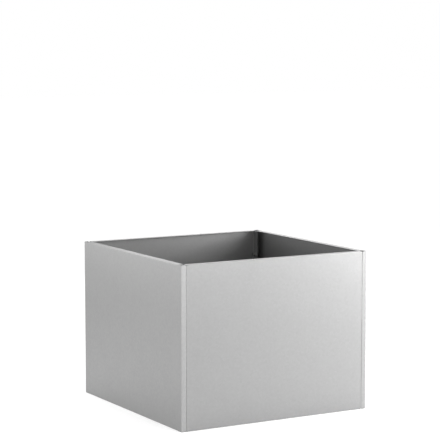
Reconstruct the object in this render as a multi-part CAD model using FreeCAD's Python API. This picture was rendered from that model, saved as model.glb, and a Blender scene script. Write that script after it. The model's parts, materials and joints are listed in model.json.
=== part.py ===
import FreeCAD, Part
import math
import os

# A square planter of folded galvanized sheet, bolted together from the inside.
# Millimetres. The origin is the middle of the footprint on the floor, +Z is up, and the front faces -Y.

# The outside of the planter
planter_width = 600.0
planter_depth = 600.0
planter_height = 455.0

# The sheet of the four panels, and how it is folded
panel_sheet = 1.0
panel_bend_inside = 0.5
rim_width = 18.0
foot_width = 18.0
corner_return = 15.0
joint_depth = 22.0
corner_relief = 0.5
rim_corner_gap = 1.0

# The bolted joints, three bolts up each corner
bolts_per_corner = 3
bolt_end_distance = 75.0
bolt_edge_distance = 11.0
bolt_radius = 3.0
bolt_hole_clearance = 0.3
bolt_head_across_flats = 10.0
bolt_head_height = 4.0
bolt_end_chamfer = 0.6
thread_protrusion = 1.8
washer_radius = 6.0
washer_thickness = 1.6
washer_hole_clearance = 0.2
nut_across_flats = 10.0
nut_height = 5.0
thread_clearance = 0.1

# The base tray that carries the soil
tray_top = 20.0
tray_sheet = 1.2
tray_bend_inside = 1.2
tray_gap = 2.0
drain_radius = 6.0
drain_pitch = 180.0
drains_per_row = 3

# The two ribs under the tray, with a row of drains on each side of them
rib_spacing = 200.0
rib_crown_width = 50.0
rib_flange_width = 16.0
rib_sheet = 1.2
rib_bend_inside = 1.2
rib_end_gap = 2.0

# The rivets that hold each rib's two flanges to the tray
rivets_per_flange = 4
rivet_end_distance = 40.0
rivet_radius = 2.0
rivet_hole_clearance = 0.1
rivet_head_radius = 4.0
rivet_head_height = 1.3
rivet_tail_radius = 3.0
rivet_tail_height = 1.4

# One overrun for every cut
overrun = 5.0

# Worked out from the values above
half_width = planter_width / 2
half_depth = planter_depth / 2
panel_bend_outside = panel_bend_inside + panel_sheet
fold_cut_back = panel_bend_outside + corner_relief
joint_plane = half_width - corner_return
bolt_inset = joint_depth - bolt_edge_distance

X_AXIS = FreeCAD.Vector(1, 0, 0)
Y_AXIS = FreeCAD.Vector(0, 1, 0)
Z_AXIS = FreeCAD.Vector(0, 0, 1)
CENTRE = FreeCAD.Vector(0, 0, 0)
HALF_TURN = 180.0
QUARTER_TURN = 90.0
HEXAGON_CHAMFER = math.radians(30)


def folded_outline(corners, sheet, bend_inside):
    """The closed outline of folded sheet, in its own plane. The sheet lies left of the line through its corners,
    and every fold is a right angle."""
    points = [FreeCAD.Vector(a, b, 0) for a, b in corners]
    steps = [(end - start).normalize() for start, end in zip(points, points[1:])]
    starts = [points[0], points[0] + Z_AXIS.cross(steps[0]) * sheet]
    ends = [points[-1], points[-1] + Z_AXIS.cross(steps[-1]) * sheet]
    tips = list(starts)
    edges = ([], [])
    for point, before, after in zip(points[1:], steps, steps[1:]):
        turn = before.cross(after).z
        near_radius = bend_inside + sheet if turn > 0 else bend_inside
        centre = point + (after - before) * near_radius
        for face, radius in enumerate((near_radius, near_radius - turn * sheet)):
            first = centre - after * radius
            middle = centre + (before - after) * (radius / math.sqrt(2))
            last = centre + before * radius
            edges[face].append(Part.makeLine(tips[face], first))
            edges[face].append(Part.Arc(first, middle, last).toShape())
            tips[face] = last
    for face in (0, 1):
        edges[face].append(Part.makeLine(tips[face], ends[face]))
    return edges[0] + [Part.makeLine(*ends)] + edges[1][::-1] + [Part.makeLine(*starts)]


def folded_sheet(corners, sheet, bend_inside, start, across, up, sweep):
    """A folded sheet swept straight. Its outline's plane is set by start and by the directions across and up."""
    face = Part.Face(Part.Wire(folded_outline(corners, sheet, bend_inside)))
    face.Placement = FreeCAD.Placement(start, FreeCAD.Rotation(across, up, across.cross(up), "XYZ"))
    return face.extrude(sweep)


def block(low, high):
    """A box between two corners."""
    size = high - low
    return Part.makeBox(size.x, size.y, size.z, low)


def bolt_heights():
    """How high the bolts sit, spread evenly up the joint."""
    span = planter_height - 2 * bolt_end_distance
    return [bolt_end_distance + span * i / (bolts_per_corner - 1) for i in range(bolts_per_corner)]


def joint_holes():
    """Cutters for the bolt holes of the two front corners' joint flanges."""
    radius = bolt_radius + bolt_hole_clearance
    length = 2 * (panel_sheet + overrun)
    cutters = []
    for side in (-1, 1):
        for z in bolt_heights():
            middle = FreeCAD.Vector(side * joint_plane, bolt_inset - half_depth, z)
            cutters.append(Part.makeCylinder(radius, length, middle - X_AXIS * (length / 2), X_AXIS))
    return cutters


def rim_and_foot():
    """The upright fold that a panel's rim, face and foot share: inwards across, then up."""
    return [(rim_width, planter_height), (0, planter_height), (0, 0), (foot_width, 0)]


def make_front_panel():
    """The face between the corner strips: a rim, a foot and a joint flange at each end."""
    ends = [(-joint_plane, joint_depth), (-joint_plane, 0), (joint_plane, 0), (joint_plane, joint_depth)]
    upright = folded_sheet(
        ends, panel_sheet, panel_bend_inside,
        FreeCAD.Vector(0, -half_depth, fold_cut_back), X_AXIS, Y_AXIS,
        Z_AXIS * (planter_height - 2 * fold_cut_back),
    )
    rim_half_length = joint_plane - fold_cut_back
    level = folded_sheet(
        rim_and_foot(), panel_sheet, panel_bend_inside,
        FreeCAD.Vector(-rim_half_length, -half_depth, 0), Y_AXIS, Z_AXIS,
        X_AXIS * (2 * rim_half_length),
    )
    return upright.fuse(level).removeSplitter().cut(joint_holes())


def make_left_panel():
    """The face that wraps round two corners: a rim, a foot, and at each end a strip and a joint flange."""
    ends = [
        (joint_depth - half_depth, corner_return),
        (-half_depth, corner_return),
        (-half_depth, 0),
        (half_depth, 0),
        (half_depth, corner_return),
        (half_depth - joint_depth, corner_return),
    ]
    upright = folded_sheet(
        ends, panel_sheet, panel_bend_inside,
        FreeCAD.Vector(-half_width, 0, 0), -Y_AXIS, X_AXIS,
        Z_AXIS * planter_height,
    )
    rim_half_length = half_depth - rim_width - rim_corner_gap
    outside = FreeCAD.Vector(-half_width - overrun, 0, 0)
    cutters = []
    for low, high in ((-overrun, fold_cut_back), (planter_height - fold_cut_back, planter_height + overrun)):
        face = block(
            outside + FreeCAD.Vector(0, -rim_half_length, low),
            FreeCAD.Vector(-half_width + panel_bend_outside, rim_half_length, high),
        )
        flanges = block(
            FreeCAD.Vector(-joint_plane - fold_cut_back, -half_depth - overrun, low),
            FreeCAD.Vector(-joint_plane + overrun, half_depth + overrun, high),
        )
        cutters += [face, flanges]
    level_half_length = rim_half_length - corner_relief
    level = folded_sheet(
        rim_and_foot(), panel_sheet, panel_bend_inside,
        FreeCAD.Vector(-half_width, -level_half_length, 0), X_AXIS, Z_AXIS,
        Y_AXIS * (2 * level_half_length),
    )
    panel = upright.cut(cutters).fuse(level).removeSplitter()
    return panel.cut(joint_holes() + [turned(hole) for hole in joint_holes()])


def turned(shape):
    """A copy turned half round, which makes a back piece of a front one and a right piece of a left one."""
    copy = shape.copy()
    copy.rotate(CENTRE, Z_AXIS, HALF_TURN)
    return copy


def hexagon(across_flats, height, chamfered_below):
    """A hexagon prism along Z with its top corners turned off, and its bottom ones too when asked."""
    corner = across_flats / math.sqrt(3)
    sixth = 2 * math.pi / 6
    points = [FreeCAD.Vector(corner * math.cos(i * sixth), corner * math.sin(i * sixth), 0) for i in range(7)]
    prism = Part.Face(Part.makePolygon(points)).extrude(Z_AXIS * height)
    flat = across_flats / 2
    drop = flat * math.tan(HEXAGON_CHAMFER)
    rings = [turning([(flat, height), (across_flats, height), (across_flats, height - drop)])]
    if chamfered_below:
        rings.append(turning([(flat, 0), (across_flats, 0), (across_flats, drop)]))
    return prism.cut(rings)


def turning(outline):
    """A solid turned about Z from (radius, height) points."""
    points = [FreeCAD.Vector(radius, 0, height) for radius, height in outline]
    return Part.Face(Part.makePolygon(points + points[:1])).revolve(CENTRE, Z_AXIS, 2 * HALF_TURN)


def make_bolt():
    """A hexagon bolt along Z, with the underside of its head at zero and its shank upwards."""
    stack = 2 * washer_thickness + 2 * panel_sheet + nut_height
    length = stack + thread_protrusion
    head = hexagon(bolt_head_across_flats, bolt_head_height, False)
    head.rotate(CENTRE, X_AXIS, HALF_TURN)
    shank = turning([
        (0, -bolt_head_height / 2),
        (bolt_radius, -bolt_head_height / 2),
        (bolt_radius, length - bolt_end_chamfer),
        (bolt_radius - bolt_end_chamfer, length),
        (0, length),
    ])
    return head.fuse(shank).removeSplitter()


def make_washer(start):
    """A flat washer along Z, from the height it starts at."""
    hole = bolt_radius + washer_hole_clearance
    end = start + washer_thickness
    return turning([(hole, start), (washer_radius, start), (washer_radius, end), (hole, end)])


def make_nut(start):
    """A hexagon nut along Z, from the height it starts at."""
    nut = hexagon(nut_across_flats, nut_height, True)
    bore = Part.makeCylinder(bolt_radius + thread_clearance, nut_height + 2 * overrun, -Z_AXIS * overrun)
    nut = nut.cut(bore)
    nut.translate(Z_AXIS * start)
    return nut


def corner_fasteners(kind, side_x, side_y):
    """The bolts, washers or nuts of one corner, each along X with its head inside the planter."""
    flanges = washer_thickness + 2 * panel_sheet
    makers = {
        "bolts": [make_bolt()],
        "washers": [make_washer(0), make_washer(flanges)],
        "nuts": [make_nut(flanges + washer_thickness)],
    }
    head_plane = joint_plane - panel_sheet - washer_thickness
    pieces = []
    for z in bolt_heights():
        for piece in makers[kind]:
            copy = piece.copy()
            copy.rotate(CENTRE, Y_AXIS, side_x * QUARTER_TURN)
            copy.translate(FreeCAD.Vector(side_x * head_plane, side_y * (half_depth - bolt_inset), z))
            pieces.append(copy)
    return pieces


def rib_centres():
    """Where the two ribs run across the tray, front first."""
    return [-rib_spacing / 2, rib_spacing / 2]


def rivet_places():
    """Where the rivets go: along both flanges of both ribs."""
    half_row = half_width - foot_width - rib_end_gap - rivet_end_distance
    across = (rib_crown_width + rib_flange_width) / 2
    places = []
    for rib_y in rib_centres():
        for side in (-1, 1):
            for i in range(rivets_per_flange):
                x = half_row * (2 * i / (rivets_per_flange - 1) - 1)
                places.append((x, rib_y + side * across))
    return places


def rivet_holes():
    """Cutters for the rivet holes through the tray and the ribs' flanges."""
    radius = rivet_radius + rivet_hole_clearance
    depth = tray_sheet + rib_sheet + 2 * overrun
    start = tray_top - tray_sheet - rib_sheet - overrun
    return [Part.makeCylinder(radius, depth, FreeCAD.Vector(x, y, start)) for x, y in rivet_places()]


def make_base_tray():
    """The soil plate with its four edges turned down, notched at the corners to clear the joint flanges."""
    half_x = half_width - panel_sheet - tray_gap
    half_y = half_depth - panel_sheet - tray_gap
    notch_x = joint_plane - panel_sheet - tray_gap
    notch_y = half_depth - joint_depth - tray_gap
    strips = []
    for reach, notch, across, along in ((half_y, notch_x, Y_AXIS, X_AXIS), (half_x, notch_y, X_AXIS, Y_AXIS)):
        corners = [(reach, panel_sheet), (reach, tray_top), (-reach, tray_top), (-reach, panel_sheet)]
        strips.append(folded_sheet(
            corners, tray_sheet, tray_bend_inside,
            -along * notch, across, Z_AXIS,
            along * (2 * notch),
        ))
    drains = []
    for row in (-1, 0, 1):
        for i in range(drains_per_row):
            x = drain_pitch * (i - (drains_per_row - 1) / 2)
            start = FreeCAD.Vector(x, row * rib_spacing, tray_top - tray_sheet - overrun)
            drains.append(Part.makeCylinder(drain_radius, tray_sheet + 2 * overrun, start))
    return strips[0].fuse(strips[1]).removeSplitter().cut(drains + rivet_holes())


def make_base_rib(centre_y):
    """A hat-section rib along X: its crown stands on the floor and its flanges lie under the tray."""
    half_length = half_width - foot_width - rib_end_gap
    web = rib_crown_width / 2
    edge = web + rib_flange_width
    seat = tray_top - tray_sheet - rib_sheet
    corners = [(-edge, seat), (-web, seat), (-web, 0), (web, 0), (web, seat), (edge, seat)]
    rib = folded_sheet(
        corners, rib_sheet, rib_bend_inside,
        FreeCAD.Vector(-half_length, centre_y, 0), Y_AXIS, Z_AXIS,
        X_AXIS * (2 * half_length),
    )
    return rib.cut(rivet_holes())


def make_base_rivets():
    """Blind rivets: a low dome on the tray, a shank through both sheets and a tail under the rib's flange."""
    grip = tray_sheet + rib_sheet
    dome = rivet_head_radius * math.cos(math.pi / 4)
    outline = [
        (0, -grip - rivet_tail_height),
        (rivet_tail_radius, -grip - rivet_tail_height),
        (rivet_tail_radius, -grip),
        (rivet_radius, -grip),
        (rivet_radius, 0),
        (rivet_head_radius, 0),
        (dome, rivet_head_height * math.sin(math.pi / 4)),
        (dome / 2, rivet_head_height),
        (0, rivet_head_height),
    ]
    rivet = turning(outline)
    rivets = []
    for x, y in rivet_places():
        copy = rivet.copy()
        copy.translate(FreeCAD.Vector(x, y, tray_top))
        rivets.append(copy)
    return rivets


def save(name, pieces):
    """Write one node's solids to its own file."""
    solids = [solid for piece in pieces for solid in piece.Solids]
    shape = solids[0] if len(solids) == 1 else Part.Compound(solids)
    assert shape.isValid(), name
    shape.exportStep("parts/" + name + ".step")
    print(name, len(solids), round(sum(solid.Volume for solid in solids)))


os.makedirs("parts", exist_ok=True)

front_panel = make_front_panel()
left_panel = make_left_panel()
save("front_panel", [front_panel])
save("back_panel", [turned(front_panel)])
save("left_panel", [left_panel])
save("right_panel", [turned(left_panel)])

for front_or_back, side_y in (("front", -1), ("back", 1)):
    for left_or_right, side_x in (("left", -1), ("right", 1)):
        corner = "_" + front_or_back + "_" + left_or_right
        for kind in ("bolts", "washers", "nuts"):
            save(kind + corner, corner_fasteners(kind, side_x, side_y))

save("base_tray", [make_base_tray()])
for name, centre_y in zip(("base_rib_front", "base_rib_rear"), rib_centres()):
    save(name, [make_base_rib(centre_y)])
save("base_rivets", make_base_rivets())
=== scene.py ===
# %% [markdown]
# A galvanized steel planter, dressed for its picture
#
# The planter is an open square box of folded sheet, bolted together from the inside. Its shape comes ready
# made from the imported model, which is loaded here as a fixed frame: metres, +Z up, the front facing -Y, and
# the origin in the middle of the footprint. This lesson gives every piece its finish, and then sets the
# floor, the lamps and the camera.

# %% The frame
import json
import math

import bpy
from mathutils import Euler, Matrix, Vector


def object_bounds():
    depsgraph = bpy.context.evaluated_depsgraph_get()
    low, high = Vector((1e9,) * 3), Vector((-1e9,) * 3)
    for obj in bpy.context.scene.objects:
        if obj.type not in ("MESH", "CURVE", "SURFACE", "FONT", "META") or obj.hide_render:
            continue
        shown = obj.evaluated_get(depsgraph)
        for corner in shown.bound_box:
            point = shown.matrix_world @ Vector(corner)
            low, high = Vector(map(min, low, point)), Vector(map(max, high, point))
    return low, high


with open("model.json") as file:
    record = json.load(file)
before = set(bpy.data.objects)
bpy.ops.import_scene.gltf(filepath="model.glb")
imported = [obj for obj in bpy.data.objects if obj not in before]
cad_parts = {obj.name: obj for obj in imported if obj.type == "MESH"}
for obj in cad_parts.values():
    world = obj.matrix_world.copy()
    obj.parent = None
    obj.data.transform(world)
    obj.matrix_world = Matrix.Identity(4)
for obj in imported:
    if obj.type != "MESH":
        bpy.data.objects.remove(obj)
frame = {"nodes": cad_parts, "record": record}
cad_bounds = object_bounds()
low, high = cad_bounds
print("planter, in metres:", [round(side, 4) for side in high - low])

# %% [markdown]
# Colours and sizes
#
# Colours are written as sRGB hex, the way a paint or metal chart gives them, and one function turns them
# into the linear values that a shader works in. Patterns are sized in millimetres on the real metal. A
# texture that repeats every so many millimetres has a scale of a thousand over that, because the frame is
# in metres.

# %% Colours and sizes
MM = 0.001


def linear(hex_colour):
    """An sRGB hex colour as linear RGBA."""
    channels = [int(hex_colour[i:i + 2], 16) / 255 for i in (1, 3, 5)]
    return [c / 12.92 if c <= 0.04045 else ((c + 0.055) / 1.055) ** 2.4 for c in channels] + [1.0]


def per_mm(size):
    """The texture scale of a pattern whose marks are size millimetres apart."""
    return 1 / (size * MM)


print("mid grey, linear:", [round(c, 3) for c in linear("#808080")])

# %% [markdown]
# One function for every node
#
# A material is a small graph. Adding a node, setting it and wiring it up is the same work every time, so
# one function does it for every kind: settings are the node's own, and an input is a value, another node,
# or one of its outputs.

# %% Adding a node


def add(tree, kind, inputs=None, **settings):
    """Add a node. inputs maps a socket's name or number to a value, a node's first output or an output."""
    made = tree.nodes.new(kind)
    for name, value in settings.items():
        setattr(made, name, value)
    for socket, value in (inputs or {}).items():
        if isinstance(value, bpy.types.Node):
            value = value.outputs[0]
        if isinstance(value, bpy.types.NodeSocket):
            tree.links.new(value, made.inputs[socket])
        else:
            made.inputs[socket].default_value = value
    return made


def new_tree(name):
    """A new material with an empty graph."""
    material = bpy.data.materials.new(name)
    material.use_nodes = True
    material.node_tree.nodes.clear()
    return material, material.node_tree


print("every node is added by", add.__name__)

# %% [markdown]
# Zinc crystals
#
# Hot-dip galvanized steel is strip that has been drawn through molten zinc. The zinc freezes in flat
# crystals, the spangle, each a little lighter or darker and a little duller or glossier than the next. A
# picture of real spangle would have to be fitted to every panel and would repeat. Voronoi cells need no
# fitting, because they fill space from the object's own coordinates, and noise frays their straight borders
# into the feathered ones of real crystals.

# %% Zinc crystals
panel_crystal_mm = 6
base_crystal_mm = 9


def zinc_crystals(tree, place, size_mm):
    """Two random values, each the same all over a crystal: how light it is, and how glossy."""
    fray = add(tree, "ShaderNodeTexNoise", {"Vector": place, "Scale": per_mm(size_mm / 2), "Detail": 2.0})
    noise_middle = (0.5, 0.5, 0.5)
    sideways = add(tree, "ShaderNodeVectorMath", {
        0: fray.outputs["Color"], 1: noise_middle,
    }, operation="SUBTRACT")
    one_crystal = (size_mm * MM,) * 3
    frayed = add(tree, "ShaderNodeVectorMath", {
        0: sideways, 1: one_crystal, 2: place,
    }, operation="MULTIPLY_ADD")
    cells = add(tree, "ShaderNodeTexVoronoi", {"Vector": frayed, "Scale": per_mm(size_mm)})
    parts = add(tree, "ShaderNodeSeparateColor", {"Color": cells.outputs["Color"]})
    return parts.outputs["Red"], parts.outputs["Green"]


print("crystals:", panel_crystal_mm, "mm on the panels and", base_crystal_mm, "mm on the base")

# %% [markdown]
# Rolled and flattened
#
# After the bath the strip is lightly rolled. That leaves fine lines along the strip, which lie level on the
# finished panels, and it leaves thin sheet a little wavy, so reflections drift across it. Both are bumps:
# the lines are far too small to model, and the waves are a quarter of a millimetre deep over a hand's span.
# The roll lines are drawn about three times as coarse as real ones, which would be too fine to show.

# %% Rolled surface
wave_length_mm = 190
wave_depth = 0.25 * MM
roll_line_mm = 1.5
roll_line_depth = 0.004 * MM
roll_line_stretch = 50


def rolled_surface(tree, place):
    """A bumped normal with the slow waves and the fine level lines of rolled sheet."""
    wave = add(tree, "ShaderNodeTexNoise", {"Vector": place, "Scale": per_mm(wave_length_mm), "Detail": 1.0})
    waves = add(tree, "ShaderNodeBump", {"Height": wave, "Distance": wave_depth})
    level = (1 / roll_line_stretch, 1 / roll_line_stretch, 1.0)
    stretched = add(tree, "ShaderNodeMapping", {"Vector": place, "Scale": level})
    line = add(tree, "ShaderNodeTexNoise", {
        "Vector": stretched, "Scale": per_mm(roll_line_mm), "Detail": 3.0,
    })
    return add(tree, "ShaderNodeBump", {"Height": line, "Distance": roll_line_depth, "Normal": waves})


print("roll lines:", roll_line_mm, "mm apart and about", roll_line_mm * roll_line_stretch, "mm long")

# %% [markdown]
# Folds and corner strips
#
# Two places on the sheet look different from the rest. Along a fold the tone is raised a little, a painted
# highlight for the light that a fold catches. The narrow strips beside the corners, where a side panel wraps
# on to the front, are folded twice, and the press tool leaves them duller, so they take a broader and more
# even light; their tone is raised a little too, a painted sheen. Painting these by hand would mean
# unwrapping every panel. Both can be told from the position alone: a point on the skin is near one face of
# the box, and it is on a fold when it is near a second face as well.

# %% Folds and corner strips
strip_width = 15 * MM
fold_reach = 2 * MM
soft_edge = 0.5 * MM


def gaps_to_faces(tree, place):
    """How far inside the side faces, the front and back faces, and the rim or foot a point is."""
    axes = add(tree, "ShaderNodeSeparateXYZ", {"Vector": place})
    gaps = []
    for axis, reach in (("X", high.x), ("Y", high.y)):
        outward = add(tree, "ShaderNodeMath", {0: axes.outputs[axis]}, operation="ABSOLUTE")
        gaps.append(add(tree, "ShaderNodeMath", {0: reach, 1: outward}, operation="SUBTRACT"))
    from_rim = add(tree, "ShaderNodeMath", {0: high.z, 1: axes.outputs["Z"]}, operation="SUBTRACT")
    gaps.append(add(tree, "ShaderNodeMath", {0: from_rim, 1: axes.outputs["Z"]}, operation="MINIMUM"))
    return gaps


def on_folds(tree, gaps):
    """1 on a fold of the box, and 0 from fold_reach away."""
    smaller = add(tree, "ShaderNodeMath", {0: gaps[0], 1: gaps[1]}, operation="MINIMUM")
    larger = add(tree, "ShaderNodeMath", {0: gaps[0], 1: gaps[1]}, operation="MAXIMUM")
    larger = add(tree, "ShaderNodeMath", {0: larger, 1: gaps[2]}, operation="MINIMUM")
    second = add(tree, "ShaderNodeMath", {0: smaller, 1: larger}, operation="MAXIMUM")
    return add(tree, "ShaderNodeMapRange", {"Value": second, "From Min": fold_reach, "From Max": 0.0})


def on_strips(tree, gaps):
    """1 on the corner strips of the front and back, and 0 elsewhere."""
    near_corner = add(tree, "ShaderNodeMapRange", {
        "Value": gaps[0], "From Min": strip_width - soft_edge, "From Max": strip_width - 2 * soft_edge,
    })
    on_face = add(tree, "ShaderNodeMapRange", {
        "Value": gaps[1], "From Min": 2 * soft_edge, "From Max": soft_edge,
    })
    return add(tree, "ShaderNodeMath", {0: near_corner, 1: on_face}, operation="MULTIPLY")


print("corner strips:", strip_width, "m wide")

# %% [markdown]
# Hot-dip galvanized steel sheet
#
# This is the skin of the four panels: pure zinc, a neutral silver grey with a satin face. A metal takes its
# colour from its reflection alone, so it is a Principled shader that is fully metallic, with the roughness
# of rolled zinc, about 0.4. On sheet like this the crystals are small and faint. They and some slow
# cloudiness change the tone by a few parts in a hundred, which is enough to stop a wide flat panel from
# looking like plastic film.

# %% Hot-dip galvanized panels
zinc_grey = "#959595"
panel_crystal_tones = (0.955, 0.995)
cloud_mm = 60
cloud_tone = 0.05
# The next two lift the colour: along the folds as a painted highlight, and on the corner strips as a painted
# sheen.
fold_highlight_tone = 0.12
strip_sheen_tone = 0.09
panel_roughness = (0.39, 0.45)
strip_roughness = 0.12


def galvanized_panels(name):
    """Smooth galvanized sheet: faint crystals, painted highlight on folds, duller corner strips with painted
    sheen.
    """
    material, tree = new_tree(name)
    place = add(tree, "ShaderNodeTexCoord").outputs["Object"]
    gaps = gaps_to_faces(tree, place)
    folds = on_folds(tree, gaps)
    strips = on_strips(tree, gaps)
    light, gloss = zinc_crystals(tree, place, panel_crystal_mm)
    cloud = add(tree, "ShaderNodeTexNoise", {"Vector": place, "Scale": per_mm(cloud_mm), "Detail": 4.0})
    darkest, lightest = panel_crystal_tones
    tone = add(tree, "ShaderNodeMapRange", {"Value": light, "To Min": darkest, "To Max": lightest})
    # Here the folds get a painted highlight and the corner strips a painted sheen, by lifting the tone.
    for where, change in ((cloud, cloud_tone), (folds, fold_highlight_tone), (strips, strip_sheen_tone)):
        tone = add(tree, "ShaderNodeMath", {0: where, 1: change, 2: tone}, operation="MULTIPLY_ADD")
    colour = add(tree, "ShaderNodeVectorMath", {
        0: linear(zinc_grey)[:3], "Scale": tone,
    }, operation="SCALE")
    glossiest, dullest = panel_roughness
    rough = add(tree, "ShaderNodeMapRange", {"Value": gloss, "To Min": glossiest, "To Max": dullest})
    rough = add(tree, "ShaderNodeMath", {0: strips, 1: strip_roughness, 2: rough}, operation="MULTIPLY_ADD")
    metal = add(tree, "ShaderNodeBsdfPrincipled", {
        "Base Color": colour, "Metallic": 1.0, "Roughness": rough, "Normal": rolled_surface(tree, place),
    })
    add(tree, "ShaderNodeOutputMaterial", {"Surface": metal})
    return material


panel_steel = galvanized_panels("hot_dip_galvanized_steel")
print(panel_steel.name, "with", len(panel_steel.node_tree.nodes), "nodes")

# %% [markdown]
# Coarser sheet for the base
#
# The tray and the two ribs under it are out of sight in use, and are cut from slightly heavier sheet that
# isn't rolled as smooth. The zinc is the same, so the graph is a shorter one of the same kind, with
# crystals half as wide again that differ more.

# %% Galvanized base
base_zinc_grey = "#9B9C9C"
base_crystal_tones = (0.92, 1.08)
base_roughness = (0.38, 0.52)


def galvanized_base(name):
    """Heavier galvanized sheet, with larger and clearer crystals."""
    material, tree = new_tree(name)
    place = add(tree, "ShaderNodeTexCoord").outputs["Object"]
    light, gloss = zinc_crystals(tree, place, base_crystal_mm)
    darkest, lightest = base_crystal_tones
    tone = add(tree, "ShaderNodeMapRange", {"Value": light, "To Min": darkest, "To Max": lightest})
    colour = add(tree, "ShaderNodeVectorMath", {
        0: linear(base_zinc_grey)[:3], "Scale": tone,
    }, operation="SCALE")
    glossiest, dullest = base_roughness
    rough = add(tree, "ShaderNodeMapRange", {"Value": gloss, "To Min": glossiest, "To Max": dullest})
    metal = add(tree, "ShaderNodeBsdfPrincipled", {
        "Base Color": colour, "Metallic": 1.0, "Roughness": rough, "Normal": rolled_surface(tree, place),
    })
    add(tree, "ShaderNodeOutputMaterial", {"Surface": metal})
    return material


base_steel = galvanized_base("hot_dip_galvanized_base_steel")
print(base_steel.name, "with", len(base_steel.node_tree.nodes), "nodes")

# %% [markdown]
# Zinc-plated steel fasteners
#
# The bolts, nuts and washers are cold-headed steel with a thin plated coat of bright zinc. It is smoother
# than the hot-dip coat, and its clear finish gives it a faint wash of blue and straw. The bolts lie along X
# near the corners, at three heights, so the distance from the nearest bolt's axis is worked out from the
# position. Inside that distance the shank has its thread. A cut thread would need thousands of faces for a
# few millimetres of bolt, so it is a bump that climbs one pitch in each turn. Outside it the heads and
# washers have the fine rings of stamped and turned metal.

# %% Around the bolts
bolt_inset = 11 * MM
bolt_end_distance = 75 * MM
bolt_step = high.z / 2 - bolt_end_distance
shank_radius = 3 * MM
thread_pitch = 1 * MM


def around_bolts(tree, axes):
    """The distance from the nearest bolt's axis, and the turn about it from 0 to 1."""
    side = add(tree, "ShaderNodeMath", {0: axes.outputs["Y"]}, operation="SIGN")
    across = add(tree, "ShaderNodeMath", {
        0: side, 1: bolt_inset - high.y, 2: axes.outputs["Y"],
    }, operation="MULTIPLY_ADD")
    above = add(tree, "ShaderNodeMath", {0: axes.outputs["Z"], 1: bolt_end_distance}, operation="SUBTRACT")
    above = add(tree, "ShaderNodeMath", {0: above, 1: bolt_step / 2, 2: -bolt_step / 2}, operation="WRAP")
    away = add(tree, "ShaderNodeCombineXYZ", {"X": across, "Y": above})
    distance = add(tree, "ShaderNodeVectorMath", {0: away}, operation="LENGTH").outputs["Value"]
    turn = add(tree, "ShaderNodeMath", {0: above, 1: across}, operation="ARCTAN2")
    return distance, add(tree, "ShaderNodeMath", {0: turn, 1: 2 * math.pi}, operation="DIVIDE")


print("bolts", round(bolt_step / MM, 1), "mm apart")

# %% Zinc-plated steel
plating_blue, plating_straw = "#A9AEB6", "#B6B3A6"
plating_wash_mm = 4
plating_roughness = 0.27
thread_depth = 0.35 * MM
ring_pitch_mm = 0.15
ring_depth = 0.004 * MM


def zinc_plated(name):
    """Bright zinc plate, with threads on the shanks and fine rings on the heads and washers."""
    material, tree = new_tree(name)
    place = add(tree, "ShaderNodeTexCoord").outputs["Object"]
    axes = add(tree, "ShaderNodeSeparateXYZ", {"Vector": place})
    distance, turn = around_bolts(tree, axes)
    climb = add(tree, "ShaderNodeMath", {
        0: turn, 1: -thread_pitch, 2: axes.outputs["X"],
    }, operation="MULTIPLY_ADD")
    crest = add(tree, "ShaderNodeMath", {0: climb, 1: thread_pitch / 2}, operation="PINGPONG")
    just_outside = shank_radius + 0.05 * MM
    on_shank = add(tree, "ShaderNodeMath", {0: distance, 1: just_outside}, operation="LESS_THAN")
    thread = add(tree, "ShaderNodeMath", {0: crest, 1: on_shank}, operation="MULTIPLY")
    thread = add(tree, "ShaderNodeMath", {0: thread, 1: 2 / thread_pitch}, operation="MULTIPLY")
    threads = add(tree, "ShaderNodeBump", {"Height": thread, "Distance": thread_depth})
    ring = add(tree, "ShaderNodeMath", {0: distance, 1: ring_pitch_mm * MM}, operation="PINGPONG")
    ring = add(tree, "ShaderNodeMath", {0: ring, 1: per_mm(ring_pitch_mm)}, operation="MULTIPLY")
    rings = add(tree, "ShaderNodeBump", {"Height": ring, "Distance": ring_depth, "Normal": threads})
    wash = add(tree, "ShaderNodeTexNoise", {"Vector": place, "Scale": per_mm(plating_wash_mm), "Detail": 2.0})
    tints = {0: wash, 6: linear(plating_blue), 7: linear(plating_straw)}
    tint = add(tree, "ShaderNodeMix", tints, data_type="RGBA")
    metal = add(tree, "ShaderNodeBsdfPrincipled", {
        "Base Color": tint.outputs[2], "Metallic": 1.0, "Roughness": plating_roughness, "Normal": rings,
    })
    add(tree, "ShaderNodeOutputMaterial", {"Surface": metal})
    return material


fastener_steel = zinc_plated("zinc_plated_steel")
print(fastener_steel.name, "with", len(fastener_steel.node_tree.nodes), "nodes")

# %% [markdown]
# Aluminium rivets
#
# Blind rivets are drawn aluminium: whiter and brighter than zinc. Each dome has a dark pit in the middle,
# where the steel pin that set it broke off. The rivets stand in a regular pattern on the tray, so the
# distance from the nearest one's axis comes from folding the position over the pattern, and the pit is a
# spot of darker colour with a dished bump. Modelling sixteen pits would show no more at this size.

# %% Around the rivets
rivet_pitch = 160 * MM
rib_offset = 100 * MM
rivet_offset = 33 * MM


def from_rivets(tree, axes):
    """The distance from the nearest rivet's axis."""
    along = add(tree, "ShaderNodeMath", {0: axes.outputs["X"], 1: rivet_pitch, 2: 0.0}, operation="WRAP")
    along = add(tree, "ShaderNodeMath", {0: along, 1: rivet_pitch / 2}, operation="SUBTRACT")
    across = axes.outputs["Y"]
    for offset in (rib_offset, rivet_offset):
        across = add(tree, "ShaderNodeMath", {0: across}, operation="ABSOLUTE")
        across = add(tree, "ShaderNodeMath", {0: across, 1: offset}, operation="SUBTRACT")
    away = add(tree, "ShaderNodeCombineXYZ", {"X": along, "Y": across})
    return add(tree, "ShaderNodeVectorMath", {0: away}, operation="LENGTH").outputs["Value"]


print("rivets every", round(rivet_pitch / MM), "mm, on both sides of each rib")

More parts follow.
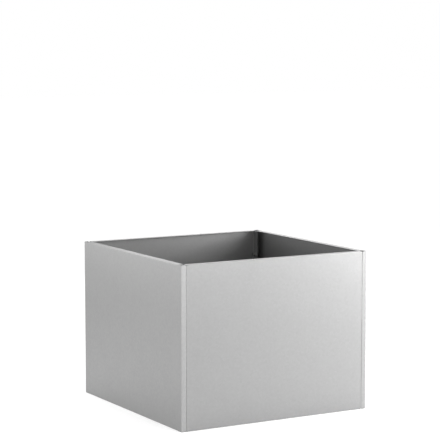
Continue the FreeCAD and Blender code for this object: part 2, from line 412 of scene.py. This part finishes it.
# %% Drawn aluminium
aluminium_dark, aluminium_light, pit_brown = "#BFC0C1", "#CBCBCA", "#4A4846"
aluminium_grain_mm = 0.5
aluminium_roughness = 0.33
pin_radius = 1.0 * MM
pit_edge = 0.2 * MM
pit_depth = 0.4 * MM


def drawn_aluminium(name):
    """Bright drawn aluminium with the dark pit of a blind rivet."""
    material, tree = new_tree(name)
    place = add(tree, "ShaderNodeTexCoord").outputs["Object"]
    axes = add(tree, "ShaderNodeSeparateXYZ", {"Vector": place})
    distance = from_rivets(tree, axes)
    pit = add(tree, "ShaderNodeMapRange", {
        "Value": distance, "From Min": pin_radius, "From Max": pin_radius - pit_edge,
    })
    grain = add(tree, "ShaderNodeTexNoise", {
        "Vector": place, "Scale": per_mm(aluminium_grain_mm), "Detail": 3.0,
    })
    silvers = {0: grain, 6: linear(aluminium_dark), 7: linear(aluminium_light)}
    silver = add(tree, "ShaderNodeMix", silvers, data_type="RGBA")
    colours = {0: pit, 6: silver.outputs[2], 7: linear(pit_brown)}
    colour = add(tree, "ShaderNodeMix", colours, data_type="RGBA")
    height = add(tree, "ShaderNodeMath", {0: 1.0, 1: pit}, operation="SUBTRACT")
    dished = add(tree, "ShaderNodeBump", {"Height": height, "Distance": pit_depth})
    metal = add(tree, "ShaderNodeBsdfPrincipled", {
        "Base Color": colour.outputs[2], "Metallic": 1.0, "Roughness": aluminium_roughness, "Normal": dished,
    })
    add(tree, "ShaderNodeOutputMaterial", {"Surface": metal})
    return material


rivet_aluminium = drawn_aluminium("drawn_aluminium")
print(rivet_aluminium.name, "with", len(rivet_aluminium.node_tree.nodes), "nodes")

# %% [markdown]
# Each piece gets its finish
#
# The record says which slot a piece takes its finish from, so the finishes go on by slot, and a piece that
# is added later gets the right one without a change here.

# %% Finishes by slot
finishes = {
    "panel_sheet": panel_steel,
    "base_sheet": base_steel,
    "fasteners": fastener_steel,
    "rivets": rivet_aluminium,
}
for piece in frame["record"]["subparts"]:
    frame["nodes"][piece["node"]].material_slots[0].material = finishes[piece["material_slot"]]

# %% [markdown]
# A white studio
#
# Bare metal looks like what stands round it, so the studio is chosen for its reflection as much as for its
# light. The planter is pictured on plain white. A world of even white at a strength of 1 gives that
# background, and it is also what the zinc mirrors. Fresh zinc returns more of the light than the grey above
# does, but no real studio is white all round, so that grey stands for the metal and the room together, and
# the lamps add the bright places.

# %% The white world
world = bpy.data.worlds.new("studio")
bpy.context.scene.world = world
world.use_nodes = True
world.node_tree.nodes.clear()
sky = add(world.node_tree, "ShaderNodeBackground", {"Color": linear("#FFFFFF"), "Strength": 1.0})
add(world.node_tree, "ShaderNodeOutputWorld", {"Surface": sky})
print("studio white at", sky.inputs["Strength"].default_value)

# %% [markdown]
# A pale floor
#
# The planter stands on a wide white sheet. Matt white paper returns about 86 percent of the light, which
# would leave a grey floor under a white sky, with a line where they meet. So the rays that look at it, from
# the camera or from a reflection, also find the missing part as a faint glow, and a little over, so that
# the floor meets the sky unseen. The glow lights nothing else, and the rest of the white is light that
# falls on the paper, so it still darkens softly beside the planter. The Light Path node tells the looking
# rays apart. The glow stops where the planter's foot covers the paper: under the tray the floor is dark,
# and the drain holes show it dark.

# %% Floor
floor_reach = 20.0
corners = [(x * floor_reach, y * floor_reach, 0) for x, y in ((-1, -1), (1, -1), (1, 1), (-1, 1))]
floor_mesh = bpy.data.meshes.new("floor")
floor_mesh.from_pydata(corners, [], [(0, 1, 2, 3)])
floor = bpy.data.objects.new("floor", floor_mesh)
bpy.context.scene.collection.objects.link(floor)
print("floor", 2 * floor_reach, "m square")

# %% Matt white paper
paper = linear("#EFEFEF")
just_over_white = 1.02
floor_glow = just_over_white - paper[0]
covered = high.x - 10 * MM
floor_finish, tree = new_tree("matt_white_paper")
path = add(tree, "ShaderNodeLightPath").outputs
looks = add(tree, "ShaderNodeMath", {0: path["Is Camera Ray"], 1: path["Is Glossy Ray"]}, operation="MAXIMUM")
looks = add(tree, "ShaderNodeMath", {0: looks, 1: path["Is Transmission Ray"]}, operation="MAXIMUM")
place = add(tree, "ShaderNodeTexCoord").outputs["Object"]
aside = add(tree, "ShaderNodeVectorMath", {0: place}, operation="ABSOLUTE")
aside = add(tree, "ShaderNodeSeparateXYZ", {"Vector": aside}).outputs
aside = add(tree, "ShaderNodeMath", {0: aside["X"], 1: aside["Y"]}, operation="MAXIMUM")
in_the_open = add(tree, "ShaderNodeMath", {0: aside, 1: covered}, operation="GREATER_THAN")
looks = add(tree, "ShaderNodeMath", {0: looks, 1: in_the_open}, operation="MULTIPLY")
lift = add(tree, "ShaderNodeMath", {0: looks, 1: floor_glow}, operation="MULTIPLY")
glow = add(tree, "ShaderNodeEmission", {"Color": linear("#FFFFFF"), "Strength": lift})
matt = add(tree, "ShaderNodeBsdfDiffuse", {"Color": paper})
both = add(tree, "ShaderNodeAddShader", {0: matt, 1: glow})
add(tree, "ShaderNodeOutputMaterial", {"Surface": both})
floor_mesh.materials.append(floor_finish)
print("paper returning", round(paper[0], 3), "and glowing at", round(floor_glow, 3))

# %% [markdown]
# Soft boxes
#
# The white room alone would show the metal in one flat grey. In the picture the front brightens from the
# lower left to the upper right, the left side is darker and nearly even, and the rim and the near fold are
# fine bright lines. Each of these has its soft box. A far box lights a panel evenly and a close one fades
# along it, so a long low strip far on the right carries the front, and two boxes close above the rim give
# it the bright corner and the bright top. A wide box serves the left side, one behind draws the rim, and a
# low one in front draws the fold. Metal mirrors these boxes in other views too, so each is as wide and as
# dim as the picture allows. That keeps every face from clipping to white, and most of the rims. Only a rim
# seen low from behind still mirrors the box on the right as a white line. All are hidden from the camera, so
# that none shows as a pane in other views.

# %% Soft boxes


def soft_box(name, place, aim, size, watts):
    """A soft box at place, pointing at aim, with its width and height as size."""
    lamp = bpy.data.lights.new(name, "AREA")
    lamp.shape = "RECTANGLE"
    lamp.size, lamp.size_y = size
    lamp.energy = watts
    holder = bpy.data.objects.new(name, lamp)
    holder.location = place
    holder.rotation_euler = (Vector(aim) - Vector(place)).to_track_quat("-Z", "Y").to_euler()
    holder.visible_camera = False
    bpy.context.scene.collection.objects.link(holder)
    return holder


middle = (0, 0, 0.25)
soft_box("right_strip", (3.0, -1.5, 0.25), middle, (3.0, 0.4), 62)
soft_box("right_box", (0.75, -0.65, 0.75), (0.2, -0.3, 0.35), (0.6, 0.5), 6.3)
soft_box("front_box", (-0.1, -0.9, 0.6), (-0.1, -0.3, 0.42), (0.6, 0.2), 1.1)
soft_box("left_fill", (-1.1, 0.5, 0.75), (-0.3, 0.0, 0.4), (1.4, 0.8), 6.7)
soft_box("rim_light", (1.4, 2.0, 0.8), middle, (1.4, 0.5), 4.5)
soft_box("fold_light", (-1.3, -2.2, 0.35), middle, (0.8, 0.5), 8)
print("soft boxes:", [lamp.name for lamp in bpy.data.lights])

# %% [markdown]
# The camera
#
# The photograph looks from the front left, a little above the rim, with a long lens: the far edges are
# nearly as tall as the near one. Its place and lens come from fitting the box's edges to the edges in the
# picture.

# %% Camera
camera = bpy.data.cameras.new("camera")
camera.lens = 141.76
camera.sensor_width = 36.0
viewer = bpy.data.objects.new("camera", camera)
viewer.location = (-2.4931, -4.3248, 1.0902)
viewer.rotation_euler = Euler((math.radians(90 - 6.385), 0, math.radians(-29.879)))
bpy.context.scene.collection.objects.link(viewer)
bpy.context.scene.camera = viewer
bpy.context.scene.view_settings.view_transform = "Standard"
print("camera", round(viewer.location.length, 2), "m away, lens", camera.lens, "mm")

# %% [markdown]
# The sizes
#
# The finish must not change the planter's size.

# %% Sizes
print("finishes, floor, lamps and camera are set")
